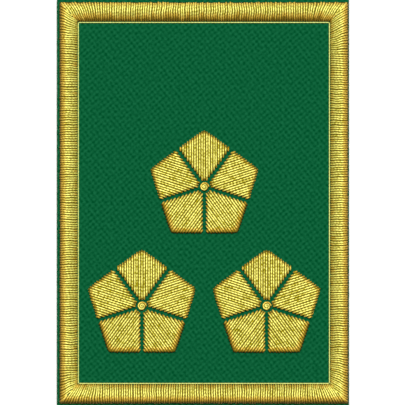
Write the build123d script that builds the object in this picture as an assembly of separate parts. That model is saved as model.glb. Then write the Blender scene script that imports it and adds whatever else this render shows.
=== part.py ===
from build123d import *
import math
import os

# Embroidered collar patch: a stiff woven ground with a raised gold border, a fine edge cord
# and three rosette pips, one above two.
#
# Millimetres. The patch lies face up: X runs across it, Y up it and Z out of its face. The
# origin is the middle of its flat back.

# Woven ground
ground_width = 40.0
ground_height = 56.0
ground_thickness = 1.2
ground_edge_radius = 0.2  # the cut edge, softened on the face side

# Satin border, a padded roll of thread along each side
margin_left = 0.29  # bare ground outside the roll
margin_right = 0.04
margin_top = 0.46
margin_bottom = 0.46
side_roll_width = 2.55  # of the left and right rolls
end_roll_width = 2.73  # of the top and bottom rolls
roll_height = 0.95
roll_crest = 1.05  # from a roll's outer foot to its highest line
mitre_gap = 0.06  # between two rolls where they meet at a corner

# Edge cord, laid just inside the border
cord_diameter = 0.15
cord_clearance = 0.03  # from the rolls' inner feet
cord_corner_radius = 0.12  # at the cord's centreline

# Pips: five satin petals round a knot
petal_count = 5
pip_radius = 7.88  # from the centre to a petal's tip
petal_height = 0.65
petal_edge_radius = 0.25  # where the threads turn down at a petal's edge
petal_tip_radius = 0.5
petal_flank_radius = 0.4
petal_inner_radius = 0.3  # where a petal's flanks meet the hollow round the knot
seam_width = 0.45  # bare ground between two petals
knot_radius = 0.72
knot_height = 0.62
knot_clearance = 0.12

# Stitched pieces lie this far above the ground
stitch_gap = 0.03

# Centres of the pips, as shares of the edge cord's width and height
PIP_PLACES = [
    # name, across, up
    ("top", 0.502, 0.5447),
    ("left", 0.253, 0.2142),
    ("right", 0.750, 0.2142),
]

# The border's outer outline, and the cord's centreline inside it
border_left = -ground_width / 2 + margin_left
border_right = ground_width / 2 - margin_right
border_bottom = -ground_height / 2 + margin_bottom
border_top = ground_height / 2 - margin_top
cord_left = border_left + side_roll_width + cord_clearance + cord_diameter / 2
cord_right = border_right - side_roll_width - cord_clearance - cord_diameter / 2
cord_bottom = border_bottom + end_roll_width + cord_clearance + cord_diameter / 2
cord_top = border_top - end_roll_width - cord_clearance - cord_diameter / 2
seat = ground_thickness + stitch_gap


def ground():
    """The cloth panel, flat at the back, its face edge softened."""
    panel = extrude(Rectangle(ground_width, ground_height), ground_thickness)
    return fillet(panel.faces().sort_by(Axis.Z)[-1].edges(), ground_edge_radius)


def roll_profile(width):
    """Half-round section in the YZ plane: outer foot at the origin, inner foot at +Y."""
    outer = EllipticalCenterArc((roll_crest, 0), roll_crest, roll_height, 90, arc_size=90)
    inner = EllipticalCenterArc((roll_crest, 0), width - roll_crest, roll_height, 0, arc_size=90)
    base = Line((0, 0), (width, 0))
    return Plane.YZ * make_face(outer + inner + base)


def border_side(length, width, next_width):
    """One roll along X with its outer foot on Y = 0, mitred to the two that it meets."""
    bar = extrude(roll_profile(width), length / 2, both=True)
    trim = mitre_gap / 2 * math.hypot(width, next_width) / width
    outer_half = length / 2 - trim
    inner_half = outer_half - next_width
    plan = make_face(
        Polyline(
            (-outer_half, 0),
            (outer_half, 0),
            (inner_half, width),
            (-inner_half, width),
            close=True,
        )
    )
    return bar & extrude(plan, roll_height)


def border():
    """The four rolls, each turned to its side of the outline."""
    centre_x = (border_left + border_right) / 2
    centre_y = (border_bottom + border_top) / 2
    end = border_side(border_right - border_left, end_roll_width, side_roll_width)
    side = border_side(border_top - border_bottom, side_roll_width, end_roll_width)
    return {
        "border_bottom": Pos(centre_x, border_bottom, seat) * end,
        "border_top": Pos(centre_x, border_top, seat) * Rot(0, 0, 180) * end,
        "border_left": Pos(border_left, centre_y, seat) * Rot(0, 0, -90) * side,
        "border_right": Pos(border_right, centre_y, seat) * Rot(0, 0, 90) * side,
    }


def edge_cord():
    """One round cord in a closed loop along the border's inner foot."""
    loop = RectangleRounded(cord_right - cord_left, cord_top - cord_bottom, cord_corner_radius).wire()
    section = Plane(origin=loop @ 0, z_dir=loop % 0) * Circle(cord_diameter / 2)
    cord = sweep(section, path=loop)
    centre_x = (cord_left + cord_right) / 2
    centre_y = (cord_bottom + cord_top) / 2
    return Pos(centre_x, centre_y, seat + cord_diameter / 2) * cord


def petal():
    """One padded petal, its tip on +Y, its inner end hollowed round the knot."""
    reach = 2 * pip_radius
    flank = math.pi / petal_count
    apex = seam_width / 2 / math.sin(flank)
    wedge = make_face(
        Polyline(
            (0, apex),
            (reach * math.sin(flank), apex + reach * math.cos(flank)),
            (-reach * math.sin(flank), apex + reach * math.cos(flank)),
            close=True,
        )
    )
    outline = RegularPolygon(pip_radius, petal_count, rotation=90) & wedge
    kite = outline.vertices().sort_by(Axis.Y)
    outline = fillet(kite[1:3], petal_flank_radius)
    tip = outline.vertices().sort_by(Axis.Y)[-1]
    outline = fillet(tip, petal_tip_radius)
    outline -= Circle(knot_radius + knot_clearance)
    inner_corners = outline.vertices().sort_by(Axis.Y)[:2]
    outline = fillet(inner_corners, petal_inner_radius)
    pad = extrude(outline, petal_height)
    return fillet(pad.faces().sort_by(Axis.Z)[-1].edges(), petal_edge_radius)


def knot():
    """The domed thread knot at a pip's centre, a cap of a ball."""
    ball_radius = (knot_radius**2 + knot_height**2) / (2 * knot_height)
    dome = RadiusArc((knot_radius, 0), (0, knot_height), -ball_radius)
    half = make_face(dome + Line((0, knot_height), (0, 0)) + Line((0, 0), (knot_radius, 0)))
    return revolve(Plane.XZ * half, Axis.Z)


def pips():
    """Every petal and knot, at its pip's place in the field."""
    one_petal = petal()
    one_knot = knot()
    placed = {}
    for name, across, up in PIP_PLACES:
        centre_x = cord_left + across * (cord_right - cord_left)
        centre_y = cord_bottom + up * (cord_top - cord_bottom)
        place = Pos(centre_x, centre_y, seat)
        for number in range(petal_count):
            turn = Rot(0, 0, -number * 360 / petal_count)
            placed[f"pip_{name}_petal_{number + 1}"] = place * turn * one_petal
        placed[f"pip_{name}_knot"] = place * one_knot
    return placed


def write_parts():
    """Writes each piece as a STEP file of its own."""
    os.makedirs("parts", exist_ok=True)
    pieces = {"ground_cloth": ground(), "edge_cord": edge_cord(), **border(), **pips()}
    for name, piece in pieces.items():
        export_step(piece, f"parts/{name}.step")


write_parts()
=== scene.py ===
import math
import random

import bmesh
import bpy
from mathutils import Matrix, Vector, noise


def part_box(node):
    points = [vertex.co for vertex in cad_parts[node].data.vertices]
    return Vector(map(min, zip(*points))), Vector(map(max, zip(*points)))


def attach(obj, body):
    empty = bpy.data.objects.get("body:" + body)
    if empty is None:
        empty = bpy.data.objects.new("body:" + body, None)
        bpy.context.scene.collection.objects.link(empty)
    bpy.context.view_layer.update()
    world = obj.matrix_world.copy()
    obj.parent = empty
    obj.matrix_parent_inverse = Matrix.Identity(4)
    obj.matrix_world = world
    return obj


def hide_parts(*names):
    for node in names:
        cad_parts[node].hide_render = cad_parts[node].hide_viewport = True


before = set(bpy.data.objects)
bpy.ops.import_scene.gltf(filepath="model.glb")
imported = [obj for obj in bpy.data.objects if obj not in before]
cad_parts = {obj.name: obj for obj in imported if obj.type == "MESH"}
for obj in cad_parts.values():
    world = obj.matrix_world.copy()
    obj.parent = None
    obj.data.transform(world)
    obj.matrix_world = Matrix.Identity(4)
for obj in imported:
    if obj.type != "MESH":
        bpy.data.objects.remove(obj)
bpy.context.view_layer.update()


# Ground cloth
# The panel that everything is stitched to: stiff green plain-weave cloth, cut a little off the
# grain. Each place where a yarn passes over stands up as a small grain, with a dip beside it.
MM = 0.001  # the scene is in metres
touching = 0.001 * MM  # points closer than this are at one place
cloth_low, cloth_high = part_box("ground_cloth")
weft_tilt = math.radians(-3.6)  # how far the cloth is cut off its grain
warp_tilt = math.radians(-8.2)
weft_step = Matrix.Rotation(weft_tilt, 2) @ Vector((0.414, 0)) * MM
warp_step = Matrix.Rotation(warp_tilt, 2) @ Vector((0, 0.434)) * MM
yarn_cells = 2  # faces of the woven mesh across one yarn
grain_height = 0.05 * MM
grain_unevenness = 0.8
unevenness_rate = 0.8  # how soon the grains' height changes, from yarn to yarn
unevenness_slice = 3.1  # which part of the noise that height follows
edge_rounding = 0.12 * MM
cut_raggedness = 0.02 * MM
yarn_end = 0.2 * MM  # from one cut end to the next
CUT_EDGE = [
    # outwards of the woven face, below its highest grains
    (0.09 * MM, 0.11 * MM),
    (0.12 * MM, 0.19 * MM),
    (0.12 * MM, 0.65 * MM),
    (0.11 * MM, 1.10 * MM),
    (0.04 * MM, 1.20 * MM),
]
# GREEN_DIP, GREEN_GRAIN and grain_lightening paint shade into the weave's dips and light onto its
# grains.
GREEN_DIP = (0.0, 0.06, 0.0175)
GREEN_GRAIN = (0.006, 0.11, 0.0425)
grain_lightening = 0.78  # from a dip to the top of a grain
slub_lightening = 1.5  # from the darkest to the lightest place of a yarn
lightness_taken_off = 0.63
slub_scale = 2600.0
yarn_fibre_scale = 6000.0
yarn_bump = 0.03 * MM


class Shade:
    """A number or colour inside a material, so that shader maths reads as maths."""

    def __init__(self, finish, socket):
        self.finish = finish
        self.socket = socket

    def maths(self, operation, *numbers):
        return self.finish.node("ShaderNodeMath", {"operation": operation}, numbers)

    def __add__(self, other):
        return self.maths("ADD", self, other)

    def __radd__(self, other):
        return self.maths("ADD", other, self)

    def __sub__(self, other):
        return self.maths("SUBTRACT", self, other)

    def __rsub__(self, other):
        return self.maths("SUBTRACT", other, self)

    def __mul__(self, other):
        return self.maths("MULTIPLY", self, other)

    def __rmul__(self, other):
        return self.maths("MULTIPLY", other, self)

    def __pow__(self, other):
        return self.maths("POWER", self, other)

    def __rpow__(self, other):
        return self.maths("POWER", other, self)

    def cosine(self):
        return self.maths("COSINE", self)

    def clamped(self):
        return self.finish.node("ShaderNodeClamp", {}, {"Value": self})


class Finish:
    """One material, built node by node and ended with a Principled shader."""

    def __init__(self, name):
        self.material = bpy.data.materials.new(name)
        self.material.use_nodes = True
        self.tree = self.material.node_tree
        self.tree.nodes.clear()

    def node(self, kind, settings=None, sockets=None, output=0):
        """Any node: its type, its settings, and the values or links of its sockets."""
        made = self.tree.nodes.new(kind)
        for name, value in (settings or {}).items():
            setattr(made, name, value)
        named = sockets.items() if isinstance(sockets, dict) else enumerate(sockets or ())
        for key, value in named:
            if isinstance(value, Shade):
                self.tree.links.new(value.socket, made.inputs[key])
            else:
                made.inputs[key].default_value = value
        return Shade(self, made.outputs[output]) if made.outputs else None

    def place(self):
        return self.node("ShaderNodeTexCoord", output="Object")

    def attribute(self, name):
        return self.node("ShaderNodeAttribute", {"attribute_name": name}, output="Fac")

    def noise(self, place, scale, detail):
        sockets = {"Vector": place, "Scale": scale, "Detail": detail}
        return self.node("ShaderNodeTexNoise", {}, sockets)

    def bump(self, height, strength, distance):
        sockets = {"Height": height, "Strength": strength, "Distance": distance}
        return self.node("ShaderNodeBump", {}, sockets, output="Normal")

    def mix(self, factor, *colours):
        """Two colours mixed, each a Shade or (red, green, blue).

        The sockets go by number, because the node has others of the same names for numbers.
        """
        first, second = (
            colour if isinstance(colour, Shade) else (*colour, 1) for colour in colours
        )
        factor_at, first_at, second_at, mixed_at = 0, 6, 7, 2
        sockets = {factor_at: factor, first_at: first, second_at: second}
        return self.node("ShaderNodeMix", {"data_type": "RGBA"}, sockets, output=mixed_at)

    def surface(self, **sockets):
        """The shader itself; a socket's name has underscores for spaces."""
        spaced = {name.replace("_", " "): value for name, value in sockets.items()}
        shader = self.node("ShaderNodeBsdfPrincipled", {}, spaced)
        self.node("ShaderNodeOutputMaterial", {}, {"Surface": shader})
        return self.material


def made_piece(name, mesh, finishes, node):
    """The finished piece, standing for its node of the frame."""
    bmesh.ops.recalc_face_normals(mesh, faces=mesh.faces)
    for face in mesh.faces:
        face.smooth = True
    data = bpy.data.meshes.new(name)
    mesh.to_mesh(data)
    mesh.free()
    for finish in finishes:
        data.materials.append(finish)
    piece = bpy.data.objects.new(name, data)
    bpy.context.scene.collection.objects.link(piece)
    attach(piece, "root")
    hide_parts(node)
    return piece


def cloth_mesh():
    """The woven panel: a sheet of grains cut to the rectangle, its cut edge and its flat back."""
    mesh = bmesh.new()
    yarns = Matrix((weft_step, warp_step)).transposed()
    half_x = cloth_high.x - edge_rounding
    half_y = cloth_high.y - edge_rounding
    corners = [yarns.inverted() @ Vector((half_x, y)) for y in (half_y, -half_y)]
    count = math.ceil(max(abs(share) for corner in corners for share in corner)) + 1
    cells = 2 * yarn_cells * count
    bmesh.ops.create_grid(mesh, x_segments=cells, y_segments=cells, size=count)
    for vert in mesh.verts:
        across, up = vert.co.xy
        place = yarns @ vert.co.xy
        grain = -math.cos(math.pi * across) * math.cos(math.pi * up)
        where = Vector((across * unevenness_rate, up * unevenness_rate, unevenness_slice))
        uneven = 1 + grain_unevenness * noise.noise(where)
        vert.co = (place.x, place.y, cloth_high.z + grain_height * (grain * uneven - 1))
    for side in ((half_x, 0, 0), (-half_x, 0, 0), (0, half_y, 0), (0, -half_y, 0)):
        everything = mesh.verts[:] + mesh.edges[:] + mesh.faces[:]
        bmesh.ops.bisect_plane(
            mesh, geom=everything, plane_co=side, plane_no=side, clear_outer=True
        )
    rim = [edge for edge in mesh.edges if edge.is_boundary]
    for outwards, depth in CUT_EDGE:
        made = bmesh.ops.extrude_edge_only(mesh, edges=rim)["geom"]
        rim = [item for item in made if isinstance(item, bmesh.types.BMEdge) and item.is_boundary]
        for vert in {vert for edge in rim for vert in edge.verts}:
            x, y = vert.co.xy
            ragged = cut_raggedness * noise.noise(Vector((x, y, depth)) / yarn_end)
            if abs(x) > half_x - touching:
                x = math.copysign(half_x + outwards + ragged, x)
            if abs(y) > half_y - touching:
                y = math.copysign(half_y + outwards + ragged, y)
            vert.co = (x, y, cloth_high.z - depth)
    for edge in rim:
        edge.smooth = False
    bmesh.ops.holes_fill(mesh, edges=rim, sides=len(rim))
    return mesh


def green_cloth():
    """Matt dyed yarn, uneven from yarn to yarn, with painted light on the grains and painted shade
    in the dips.
    """
    finish = Finish("green_cloth")
    place = finish.place()
    x = finish.node("ShaderNodeSeparateXYZ", {}, [place], output="X")
    y = finish.node("ShaderNodeSeparateXYZ", {}, [place], output="Y")
    to_yarns = Matrix((weft_step, warp_step)).transposed().inverted() * math.pi
    across = x * to_yarns[0][0] + y * to_yarns[0][1]
    up = x * to_yarns[1][0] + y * to_yarns[1][1]
    # painted shade in the weave's dips and painted light on its grains
    grain = 0.5 - 0.5 * across.cosine() * up.cosine()
    slubs = finish.noise(place, slub_scale, detail=1.0)
    fibres = finish.noise(place, yarn_fibre_scale, detail=2.0)
    lightness = grain * grain_lightening + slubs * slub_lightening - lightness_taken_off
    return finish.surface(
        Base_Color=finish.mix(lightness.clamped(), GREEN_DIP, GREEN_GRAIN),
        Roughness=0.95,
        Specular_IOR_Level=0.0,
        Normal=finish.bump(fibres + grain, strength=0.5, distance=yarn_bump),
    )


cloth = made_piece(
    "ground_cloth_weave", cloth_mesh(), [green_cloth()], "ground_cloth"
)


# Satin border
# Four rolls of gold satin stitch. On each side a padding thread is laid down first, and twisted
# metallic thread is then stitched over it from edge to edge, close together. At the corners the
# stitches fan out and meet at a mitre.
thread_width = 0.26 * MM
thread_pitch = 0.325 * MM
thread_turn = 0.9 * MM  # the length in which it twists once
turn_steps = 6
thread_step = thread_turn / turn_steps
fewest_steps = 3
thread_sides = 6
thread_flatness = 0.74
thread_roll = 0.35  # from thread to thread, in radians
thread_tone = 0.84  # from 0, deep gold, to 1, pale gold
tone_unevenness = 0.045  # from thread to thread
# tone_below paints shade on a thread's sides; the glints below are painted highlights.
tone_below = 0.32  # darker at a thread's sides than on its top
thread_glint = 0.17  # from place to place along a thread
glint_kept = 0.4  # of the glint one step before
strand_glint = 0.24  # from strand to strand round a thread's twist
strand_steps = 3
width_unevenness = 0.04
pitch_unevenness = 0.09
thread_sway = 0.12 * MM  # to the side, shared by neighbouring threads
sway_along = 4.0 * MM
sway_across = 0.9 * MM
sway_range = 100  # each side of the border sways in its own way
padding_depth = 0.16 * MM
foot_raggedness = 0.19 * MM
ragged_limit = 3  # at most the stitch's length divided by this
inner_reach = 0.04 * MM  # past the roll's inner foot, up to the cord
# outer_fade, inner_fade, inner_depth and inner_raggedness shape the painted shade at the feet:
# orange, then brown.
outer_fade = 0.75 * MM  # from brown to gold, at the outer foot
inner_fade = 0.9 * MM
inner_depth = 0.9  # as brown as this at the inner foot
inner_raggedness = 0.15 * MM
outer_spread = 1.25  # pressed wider than its width, at the outer foot
inner_spread = 0.95
spread_reach = 1.4 * MM
fan_lean = math.tan(math.radians(38))
mitre_overlap = 0.24 * MM
mitre_dent = 0.14 * MM
dent_power = 8
stitch_parts = 24
steadiness = random.Random(7)  # of the maker's hand, the same at every run
# The outer and inner browns are painted shade at the feet, reaching further on flanks that face
# away from the broad lamp.
BORDER_SIDES = [
    # side, next side, turn in degrees, outer foot's corner: 1 high or 0 low on X and on Y,
    # crest, outer brown, inner brown, fan reach
    ("bottom", "left", 0, 0, 0, 0.95 * MM, 1.15 * MM, 0.55 * MM, 5.6 * MM),
    ("right", "top", 90, 1, 0, 0.95 * MM, 0.94 * MM, 0.45 * MM, 7.3 * MM),
    ("top", "right", 180, 1, 1, 1.25 * MM, 0.60 * MM, 1.18 * MM, 5.9 * MM),
    ("left", "bottom", -90, 0, 1, 1.00 * MM, 1.00 * MM, 0.38 * MM, 4.5 * MM),
]
# GOLD_DEEP is also the painted shade on a thread's sides. The orange and the brown are painted
# shade where a thread dips to its foot.
GOLD_DEEP = (0.40, 0.35, 0.001)
GOLD_PALE = (0.97, 0.92, 0.22)
ORANGE_DEEP = (0.56, 0.29, 0.005)
ORANGE_PALE = (0.88, 0.48, 0.035)
PAINTED_SHADE_BROWN = (0.14, 0.085, 0.004)
orange_onset = 0.6  # the power of the dip that turns gold to orange
painted_shade_onset = 2.5  # the power of the dip that turns orange to brown
thread_fibre_scale = 12000.0
thread_bump = 0.02 * MM
PADDING_DARK = (0.08, 0.06, 0.003)
PADDING_LIGHT = (0.18, 0.135, 0.008)
padding_fibre_scale = 5000.0


def evenly(points, step):
    """The same run as points about a step apart."""
    runs = [(b - a).length for a, b in zip(points, points[1:])]
    total = sum(runs)
    count = max(fewest_steps, round(total / step))
    spaced = [points[0]]
    passed, index = 0.0, 0
    for number in range(1, count):
        target = total * number / count
        while passed + runs[index] < target:
            passed += runs[index]
            index += 1
        spaced.append(points[index].lerp(points[index + 1], (target - passed) / runs[index]))
    return spaced + [points[-1]]


def twisted_thread(steps):
    """A flat, twisted thread that is one unit long on X for each step, closed at its ends."""
    mesh = bmesh.new()
    upright = Matrix.Rotation(math.radians(90), 4, "Y")
    bmesh.ops.create_circle(mesh, segments=thread_sides, radius=0.5, matrix=upright)
    bmesh.ops.scale(mesh, vec=(1, 1, thread_flatness), verts=mesh.verts)
    bmesh.ops.spin(
        mesh,
        geom=mesh.verts[:] + mesh.edges[:],
        axis=(1, 0, 0),
        dvec=(1, 0, 0),
        angle=math.radians(360) * steps * thread_step / thread_turn,
        steps=steps,
        use_merge=False,
    )
    ends = [edge for edge in mesh.edges if edge.is_boundary]
    bmesh.ops.holes_fill(mesh, edges=ends, sides=thread_sides)
    data = bpy.data.meshes.new("thread")
    mesh.to_mesh(data)
    mesh.free()
    return data


thread_meshes = {}  # by their number of steps


def straight_up(point):
    return Vector((0, 0, 1))


def no_dip(point):
    return 0.0


def no_spread(point):
    return 1.0


def lay_thread(
    mesh,
    points,
    place,
    width,
    outward=straight_up,
    dip=no_dip,
    spread=no_spread,
    tone=thread_tone,
    lustre=1.0,
):
    """Adds a twisted thread along points.

    outward(point) is the way that the thread's upper side faces. dip(point) goes from 0 to 1 as
    the thread turns down to a foot, where painted shade makes it browner. spread(point) is how
    many times its width it is pressed to. The lustre is how strongly its painted glints show.
    """
    points = evenly(points, thread_step)
    steps = len(points) - 1
    if steps not in thread_meshes:
        thread_meshes[steps] = twisted_thread(steps)
    first = len(mesh.verts)
    mesh.from_mesh(thread_meshes[steps])
    mesh.verts.ensure_lookup_table()
    tones = mesh.verts.layers.float["tone"]
    dips = mesh.verts.layers.float["dip"]
    own_tone = steadiness.gauss(tone, tone_unevenness)
    roll = steadiness.gauss(0, thread_roll)
    first_strand = steadiness.uniform(0, 360)
    flicker = 0.0
    rings = []
    for number, point in enumerate(points):
        ahead = points[min(number + 1, steps)] - points[max(number - 1, 0)]
        side = ahead.cross(outward(point)).normalized()
        out = side.cross(ahead).normalized()
        dipped = min(max(dip(point), 0.0), 1.0)
        wide = width * spread(point)
        flicker = flicker * glint_kept + steadiness.gauss(0, thread_glint)
        strand = math.cos(math.radians(first_strand + 360 * number / strand_steps))
        shine = own_tone + lustre * (flicker + strand_glint * strand)
        rings.append((point, side * wide, out * width, shine, dipped))
    for vert in mesh.verts[first:]:
        point, side, out, shine, dipped = rings[round(vert.co.x)]
        y = vert.co.y * math.cos(roll) - vert.co.z * math.sin(roll)
        z = vert.co.y * math.sin(roll) + vert.co.z * math.cos(roll)
        vert.co = place @ (point + side * y + out * z)
        # painted shade on the thread's lower sides, over its tone and its painted glints
        vert[tones] = shine - tone_below * (1 - 2 * z)
        vert[dips] = dipped


def thread_bed():
    """An empty mesh that keeps, for each point, its thread's tone with painted glints and painted
    shade, and how far it has dipped.
    """
    mesh = bmesh.new()
    mesh.verts.layers.float.new("tone")
    mesh.verts.layers.float.new("dip")
    return mesh


def lay_padding(mesh, node):
    """Adds the padding that the stitches cover: the node's own form, drawn in."""
    core = bmesh.new()
    core.from_mesh(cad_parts[node].data)
    bmesh.ops.remove_doubles(core, verts=core.verts, dist=touching)
    core.normal_update()
    inwards = [(vert, vert.normal * -padding_depth) for vert in core.verts]
    for vert, move in inwards:
        vert.co += move
    data = bpy.data.meshes.new("padding")
    core.to_mesh(data)
    core.free()
    first = len(mesh.faces)
    mesh.from_mesh(data)
    bpy.data.meshes.remove(data)
    mesh.faces.ensure_lookup_table()
    for face in mesh.faces[first:]:
        face.material_index = 1


def border_mesh(
    node, length, width, next_width, height, place, crest, outer_brown, inner_brown, fan_reach
):
    """One side along X: its padding, and the stitches over it from the outer foot at Y = 0.

    The crest is how far in from that foot the roll is highest. Each brown is how far from its own
    foot the thread is darkened with painted shade. Nearer to a corner than the fan reach the
    stitches lean towards it. They are evenly spaced along the roll's middle line, so that a fan
    opens outwards.
    """
    mesh = thread_bed()
    lay_padding(mesh, node)
    thick = thread_width * thread_flatness / 2

    def span(across):
        """The roll's half width on this side of its crest."""
        return crest if across < crest else width - crest

    def outward(point):
        slope = (point.y - crest) / span(point.y) ** 2
        return Vector((0, slope, (point.z + thick) / height**2))

    def spread(point):
        share = min(1.0, max(0.0, point.y / spread_reach))
        return outer_spread + (inner_spread - outer_spread) * share

    squeeze = 1 - fan_lean * width / 2 / fan_reach
    even_half = length / 2 - fan_reach * (1 - squeeze)
    count = round(even_half / thread_pitch)
    mitre_slope = next_width / width
    own_sway = steadiness.uniform(0, sway_range)
    for number in range(2 * count):
        uneven = steadiness.uniform(-pitch_unevenness, pitch_unevenness)
        even = (number % count + 0.5 + uneven) * even_half / count
        if even < fan_reach * squeeze:
            from_corner = even / squeeze
        else:
            from_corner = even + fan_reach * (1 - squeeze)
        hand = 1 if number < count else -1
        start = from_corner if number < count else length - from_corner
        lean = fan_lean * max(0.0, 1 - from_corner / fan_reach)
        deepest = min(width, from_corner / (mitre_slope - lean) + mitre_overlap)
        mitred = deepest < width
        ragged = min(steadiness.uniform(0, foot_raggedness), deepest / ragged_limit)
        points = []
        for part in range(stitch_parts + 1):
            turn = math.pi * part / stitch_parts
            across = ragged + (deepest + inner_reach - ragged) * (1 - math.cos(turn)) / 2
            rise = math.sqrt(max(0.0, 1 - ((across - crest) / span(across)) ** 2))
            sink = thick + mitred * mitre_dent * (part / stitch_parts) ** dent_power
            if part < stitch_parts / 2 or not mitred:
                across += thick * math.cos(turn)
            along = start + hand * lean * across
            where = Vector((along / sway_along, across / sway_across, own_sway))
            along += thread_sway * noise.noise(where)
            points.append(Vector((along, across, height * rise - sink)))
        own_inner = inner_brown + steadiness.gauss(0, inner_raggedness)

        # painted shade towards both feet
        def dip(point):
            from_outer = (outer_brown - point.y) / outer_fade
            from_inner = (own_inner - (width - point.y)) / inner_fade
            return max(from_outer, min(inner_depth, from_inner))

        own_width = thread_width * steadiness.uniform(1 - width_unevenness, 1 + width_unevenness)
        lay_thread(mesh, points, place, own_width, outward, dip, spread)
    return mesh


def gold_thread():
    """Lustrous metallic yellow thread with painted glints along its twist, painted shade on its
    sides, and painted shade, orange then brown, where it dips.
    """
    finish = Finish("gold_thread")
    tone = finish.attribute("tone").clamped()
    dip = finish.attribute("dip")
    bright = finish.mix(tone, GOLD_DEEP, GOLD_PALE)
    orange = finish.mix(tone, ORANGE_DEEP, ORANGE_PALE)
    # painted shade: the dip turns gold to orange, then to dark brown
    painted_shade_colour = finish.mix(dip**painted_shade_onset, orange, PAINTED_SHADE_BROWN)
    fibres = finish.noise(finish.place(), thread_fibre_scale, detail=2.0)
    return finish.surface(
        Base_Color=finish.mix(dip**orange_onset, bright, painted_shade_colour),
        Metallic=0.35,
        Roughness=0.5,
        Specular_IOR_Level=0.2,
        Normal=finish.bump(fibres, strength=0.3, distance=thread_bump),
    )


def gold_padding():
    """The dull ochre padding, which shows only as dark lines between the threads."""
    finish = Finish("gold_padding")
    fibres = finish.noise(finish.place(), padding_fibre_scale, detail=2.0)
    colour = finish.mix(fibres, PADDING_DARK, PADDING_LIGHT)
    return finish.surface(Base_Color=colour, Roughness=0.9, Specular_IOR_Level=0.1)


gold = gold_thread()
padding = gold_padding()
for side, next_side, turn, high_x, high_y, *own_values in BORDER_SIDES:
    node = f"border_{side}"
    low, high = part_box(node)
    next_low, next_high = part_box(f"border_{next_side}")
    length, width = max((high - low).xy), min((high - low).xy)
    next_width = min((next_high - next_low).xy)
    corner = Vector(((low, high)[high_x].x, (low, high)[high_y].y, low.z))
    place = Matrix.Translation(corner) @ Matrix.Rotation(math.radians(turn), 4, "Z")
    height = high.z - low.z
    mesh = border_mesh(node, length, width, next_width, height, place, *own_values)
    made_piece(f"{node}_satin", mesh, [gold, padding], node)


# Edge cord
# A fine pale gold cord of two strands, couched down in one closed loop against the border's
# inner edge.
cord_corner = 0.12 * MM
corner_parts = 4
cord_twist = 1.05  # wider than a smooth cord, because of its strands
# cord_lustre sets the cord's painted glints, and CORD_DEEP is also the painted shade on its sides.
cord_lustre = 0.6
CORD_DEEP = (0.42, 0.51, 0.095)
CORD_PALE = (0.80, 0.88, 0.285)


def cord_mesh():
    """The cord as one long twisted thread round the loop, its ends met at the bottom."""
    low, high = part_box("edge_cord")
    radius = (high.z - low.z) / 2
    inset = radius + cord_corner
    level = low.z + radius
    mesh = thread_bed()
    points = [Vector((0, low.y + radius, level))]
    for turn, x, y in (
        (-90, high.x, low.y),
        (0, high.x, high.y),
        (90, low.x, high.y),
        (180, low.x, low.y),
    ):
        centre_x = x - math.copysign(inset, x)
        centre_y = y - math.copysign(inset, y)
        for part in range(corner_parts + 1):
            angle = math.radians(turn + 90 * part / corner_parts)
            along_x = centre_x + cord_corner * math.cos(angle)
            along_y = centre_y + cord_corner * math.sin(angle)
            points.append(Vector((along_x, along_y, level)))
    points.append(points[0].copy())
    lay_thread(mesh, points, Matrix(), 2 * radius * cord_twist, lustre=cord_lustre)
    return mesh


def pale_cord():
    """Pale greenish gold, matter than the border's thread, with painted glints and painted shade
    on its sides.
    """
    finish = Finish("pale_cord")
    colour = finish.mix(finish.attribute("tone").clamped(), CORD_DEEP, CORD_PALE)
    return finish.surface(Base_Color=colour, Roughness=0.6, Metallic=0.2)


made_piece("edge_cord_twist", cord_mesh(), [pale_cord()], "edge_cord")


# Pips
# Three rosettes of the same gold thread. Each petal is a felt pad covered by satin stitches laid
# side by side from the knot's side to the tip's, and every stitch dives into the cloth at both
# ends. The knot is one thread wound up over a small dome.
petal_count = 5
petal_thread = 0.265 * MM
petal_tone = 0.76
# petal_fade, the rim browns and seam_brown set painted shade at a petal's edges.
petal_fade = 0.8 * MM  # from brown to gold, at a petal's edges
petal_lustre = 1.7
petal_crown = 0.05 * MM
petal_droop = 0.25  # how much lower the outermost threads lie
droop_power = 3
petal_end_run = 0.5 * MM  # in which a thread comes up from the cloth
most_end_run = 0.45  # of a thread's length
end_parts = 8
petal_raggedness = 0.08 * MM
petal_jitter = 0.02 * MM
side_margin = 0.3  # of the pitch, beside the outermost threads
foot_inset = 0.04 * MM
tip_rounding = 0.25 * MM
# painted shade, deeper on the petals whose rims face away from the broad lamp
RIM_BROWN = [0.50 * MM, 0.60 * MM, 0.95 * MM, 0.95 * MM, 0.60 * MM]  # clockwise from the top
seam_brown = 0.45 * MM
seam_width = 0.45 * MM
flank_angle = math.radians(180 / petal_count)  # half a petal's, at the pip's centre
flank_slope = math.tan(flank_angle)
seam_apex = seam_width / 2 / math.sin(flank_angle)
knot_gap = 0.84 * MM  # radius of the petals' hollow round the knot
knot_thread = 0.26 * MM
knot_turns = 2.3
knot_parts = 80
# knot_fade sets painted shade, browner towards the knot's foot.
knot_fade = 0.312 * MM
knot_tuck = 0.1  # the last part of its thread, pushed down at the middle


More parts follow.
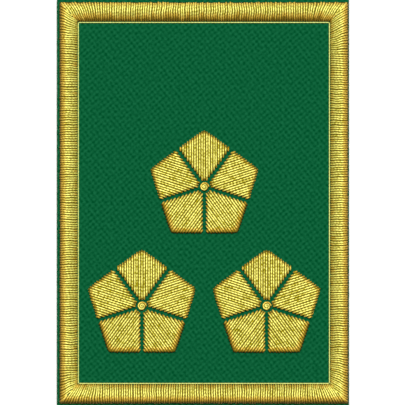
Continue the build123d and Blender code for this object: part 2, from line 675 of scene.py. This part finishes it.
def petal_mesh(node, radius, height, place, rim_brown):
    """One petal with its tip on Y: its pad, and the stitches over it.

    Its outer edges fall away from the tip by the flank angle from X, and its seams open from the
    apex by the flank angle from Y. Each brown is how far in from that edge it is darkened with
    painted shade.
    """
    mesh = thread_bed()
    lay_padding(mesh, node)
    thick = petal_thread * thread_flatness / 2
    half_width = (radius - seam_apex) / (flank_slope + 1 / flank_slope)
    half_count = int(half_width / thread_pitch - side_margin)

    def rim(x):
        return radius - math.hypot(x, tip_rounding) * flank_slope - foot_inset

    def seam(x):
        open_end = seam_apex + abs(x) / flank_slope
        if abs(x) < knot_gap:
            open_end = max(open_end, math.sqrt(knot_gap**2 - x**2))
        return open_end + foot_inset

    def dip(point):
        from_rim = rim_brown - (rim(point.x) - point.y)
        from_seam = seam_brown - (point.y - seam(point.x))
        return max(from_rim, from_seam) / petal_fade

    for number in range(-half_count, half_count + 1):
        x = number * thread_pitch + steadiness.uniform(-petal_jitter, petal_jitter)
        outer = rim(x) - steadiness.uniform(0, petal_raggedness)
        inner = seam(x) + steadiness.uniform(0, petal_raggedness)
        run = outer - inner
        end_run = min(petal_end_run, run * most_end_run)
        droop = petal_droop * abs(x / half_width) ** droop_power
        top = (height - petal_crown - thick) * (1 - droop)
        turns = [math.radians(90 * part / end_parts) for part in range(end_parts + 1)]
        points = []
        for turn in turns:
            y = inner + end_run * (1 - math.cos(turn))
            points.append(Vector((x, y, top * math.sin(turn))))
        for turn in turns:
            y = outer - end_run * (1 - math.sin(turn))
            points.append(Vector((x, y, top * math.cos(turn))))
        for point in points:
            point.z += petal_crown * math.sin(math.pi * (point.y - inner) / run)
        own_width = petal_thread * steadiness.uniform(1 - width_unevenness, 1 + width_unevenness)
        lay_thread(mesh, points, place, own_width, dip=dip, tone=petal_tone, lustre=petal_lustre)
    return mesh


def knot_mesh(node, radius, height, place):
    """A thread wound inwards and upwards over a small dome, its end pushed down at the middle."""
    mesh = thread_bed()
    lay_padding(mesh, node)
    half = knot_thread / 2
    ball = (radius**2 + height**2) / (2 * height)

    def outward(point):
        return point

    # painted shade, browner lower down
    def dip(point):
        return 1 - point.z / knot_fade

    points = []
    for part in range(knot_parts + 1):
        share = part / knot_parts
        around = math.radians(360) * knot_turns * share
        wide = (radius - half) * (1 - share)
        rise = math.sqrt(max(0.0, (ball - half) ** 2 - wide**2)) + height - ball
        tucked = max(0.0, share - (1 - knot_tuck)) / knot_tuck
        level = max(half, rise) - half * tucked
        points.append(Vector((wide * math.cos(around), wide * math.sin(around), level)))
    lay_thread(mesh, points, place, knot_thread, outward, dip)
    return mesh


for pip in ("top", "left", "right"):
    knot_low, knot_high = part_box(f"pip_{pip}_knot")
    centre = (knot_low + knot_high) / 2
    centre.z = knot_low.z
    low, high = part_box(f"pip_{pip}_petal_3")  # which reaches down to the pip's level side
    radius = (centre.y - low.y) / math.cos(flank_angle)
    for number in range(petal_count):
        node = f"pip_{pip}_petal_{number + 1}"
        turned = Matrix.Rotation(math.radians(-360 / petal_count * number), 4, "Z")
        place = Matrix.Translation(centre) @ turned
        mesh = petal_mesh(node, radius, high.z - low.z, place, RIM_BROWN[number])
        made_piece(f"{node}_satin", mesh, [gold, padding], node)
    node = f"pip_{pip}_knot"
    size = knot_high - knot_low
    mesh = knot_mesh(node, size.x / 2, size.z, Matrix.Translation(centre))
    made_piece(f"{node}_wound", mesh, [gold, padding], node)


# Table, lamps and camera
# The patch lies face up on a white table, seen from straight above through a long lens. A broad
# lamp stands beyond its top edge, and a weaker, warmer one beyond its bottom edge.
photo_pixels = 405
photo_scale = 0.1369 * MM  # a pixel of the photo, on the patch
photo_middle = (-0.46, 0.44)  # in pixels from the patch's middle
lens_distance = 0.62
table_half = 1.5
table_gap = 0.02 * MM
TABLE_WHITE = (0.92, 0.92, 0.92, 1)
ROOM_WHITE = (1, 1, 1, 1)
room_strength = 0.1


def white_table():
    """Plain matt white."""
    return Finish("white_table").surface(Base_Color=TABLE_WHITE, Roughness=0.9)


mesh = bmesh.new()
bmesh.ops.create_grid(mesh, x_segments=1, y_segments=1, size=table_half)
bmesh.ops.translate(mesh, vec=(0, 0, -table_gap), verts=mesh.verts)
data = bpy.data.meshes.new("table")
mesh.to_mesh(data)
mesh.free()
data.materials.append(white_table())
table = bpy.data.objects.new("table", data)
bpy.context.scene.collection.objects.link(table)


def lamp(name, position, width, power, colour):
    """A square soft lamp that faces the patch and isn't seen itself."""
    light = bpy.data.lights.new(name, "AREA")
    light.size = width
    light.energy = power
    light.color = colour
    stand = bpy.data.objects.new(name, light)
    stand.location = position
    stand.rotation_euler = (-Vector(position)).to_track_quat("-Z", "Y").to_euler()
    stand.visible_camera = False
    bpy.context.scene.collection.objects.link(stand)


lamp("broad_lamp", (0.05, 0.43, 1.40), width=0.6, power=28.2, colour=(1.0, 0.98, 0.95))
lamp("warm_lamp", (-0.2, -1.1, 0.5), width=0.5, power=1.2, colour=(1.0, 0.72, 0.45))

world = bpy.data.worlds.new("room")
world.use_nodes = True
background = world.node_tree.nodes["Background"]
background.inputs["Color"].default_value = ROOM_WHITE
background.inputs["Strength"].default_value = room_strength
bpy.context.scene.world = world
bpy.context.scene.view_settings.view_transform = "Standard"

camera = bpy.data.cameras.new("camera")
camera.lens = camera.sensor_width * lens_distance / (photo_pixels * photo_scale)
camera.clip_start = 0.01
camera.clip_end = 10
viewer = bpy.data.objects.new("camera", camera)
viewer_x, viewer_y = (shift * photo_scale for shift in photo_middle)
viewer.location = (viewer_x, viewer_y, cloth_high.z + lens_distance)
bpy.context.scene.collection.objects.link(viewer)
bpy.context.scene.camera = viewer
